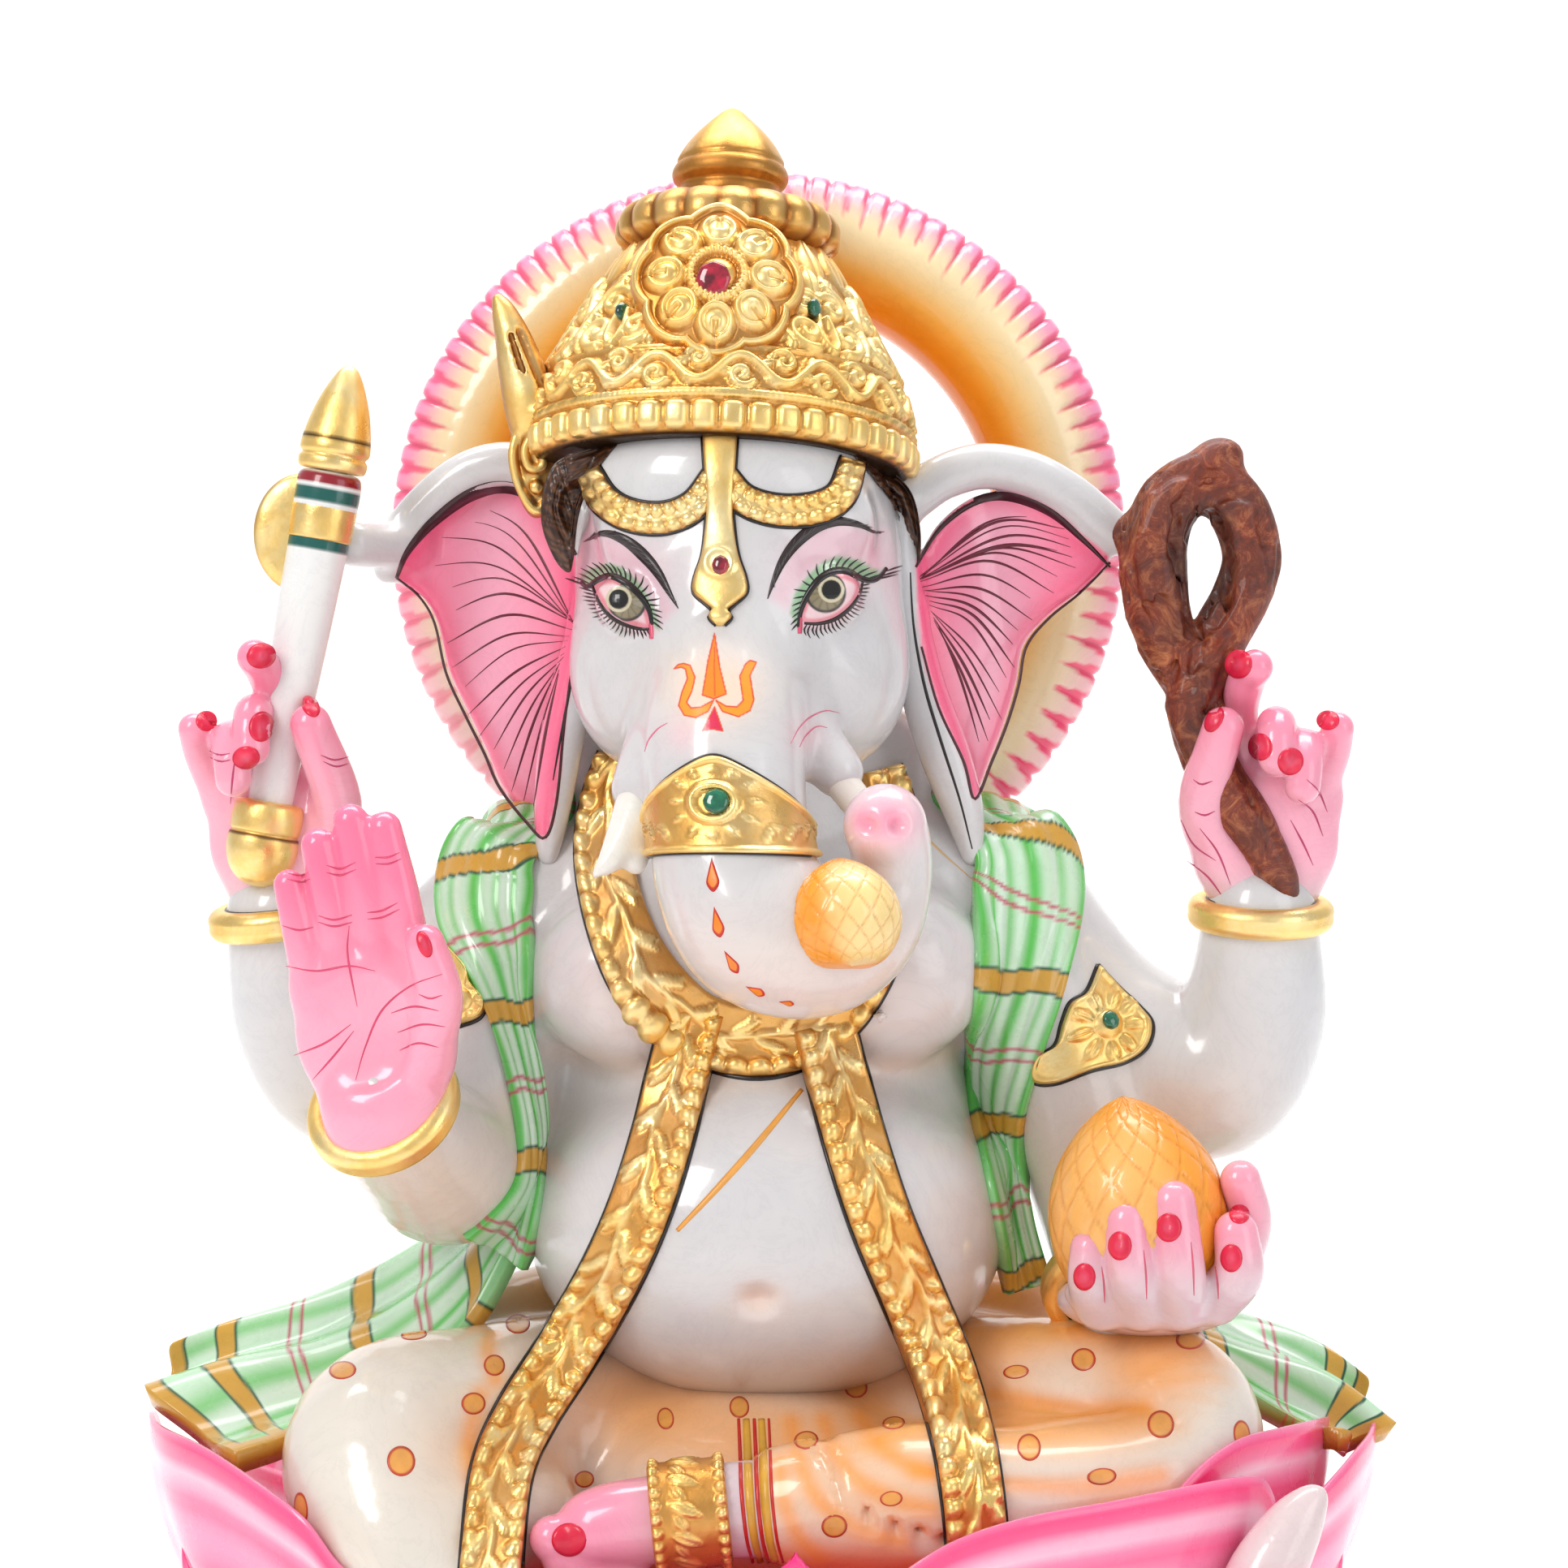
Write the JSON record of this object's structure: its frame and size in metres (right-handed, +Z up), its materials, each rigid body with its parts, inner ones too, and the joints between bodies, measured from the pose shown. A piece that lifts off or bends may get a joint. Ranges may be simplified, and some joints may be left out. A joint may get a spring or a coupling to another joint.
{
  "type": "ganesha idol",
  "caption": "Seated four-armed elephant-headed devotional figure in painted, gilded marble on a lotus seat, made of separately carved and dowelled pieces.",
  "frame": {"origin": "centre of the plinth's underside, on the surface the idol stands on", "axes": "+Z up, -Y the way the idol faces, +X the idol's left-hand side, which is the viewer's right"},
  "size_m": [0.323, 0.2394, 0.4574],
  "materials": {
    "brown": "marble painted as brown rope",
    "dhoti": "marble airbrushed cream and orange",
    "gold": "carved marble under gold leaf",
    "green": "marble painted with green stripes and gold bands",
    "green_gem": "glossy green cabochon",
    "marble": "polished white marble",
    "modak": "marble painted orange",
    "pink": "polished marble painted pink",
    "red_gem": "glossy red cabochon",
    "steel": "stainless steel rod"
  },
  "bodies": {
    "root": {"anklet_left": "gold", "armlet_gem_left": "green_gem", "armlet_left": "gold", "armlet_right": "gold", "bangle_front_left": "gold", "bangle_front_right": "gold", "bangle_rear_left": "gold", "bangle_rear_right": "gold", "blessing_hand": "pink", "crown": "gold", "crown_collar": "gold", "crown_emerald_left": "green_gem", "crown_emerald_right": "green_gem", "crown_finial": "gold", "crown_medallion": "gold", "crown_plume": "gold", "crown_ruby": "red_gem", "dhoti_hips": "dhoti", "dowel_halo": "steel", "dowel_neck": "steel", "dowel_seat": "steel", "forehead_ornament": "gold", "forehead_ruby": "red_gem", "front_left_arm": "marble", "front_right_arm": "marble", "garland_left": "gold", "garland_right": "gold", "goad_blade": "gold", "goad_hand": "pink", "goad_pommel": "gold", "goad_staff": "marble", "goad_tip": "gold", "halo_ring": "pink", "hand_modak": "modak", "head": "marble", "left_ear": "pink", "left_foot": "pink", "left_leg": "dhoti", "left_tusk": "marble", "lotus_seat": "pink", "necklace": "gold", "noose": "brown", "noose_hand": "pink", "plinth": "marble", "rear_left_arm": "marble", "rear_right_arm": "marble", "right_ear": "pink", "right_foot": "pink", "right_leg": "dhoti", "right_tusk": "marble", "shawl_end_left": "green", "shawl_end_right": "green", "shawl_left": "green", "shawl_right": "green", "sweet_hand": "pink", "torso": "marble", "trunk": "marble", "trunk_band": "gold", "trunk_emerald": "green_gem", "trunk_modak": "modak"}
  },
  "joints": []
}
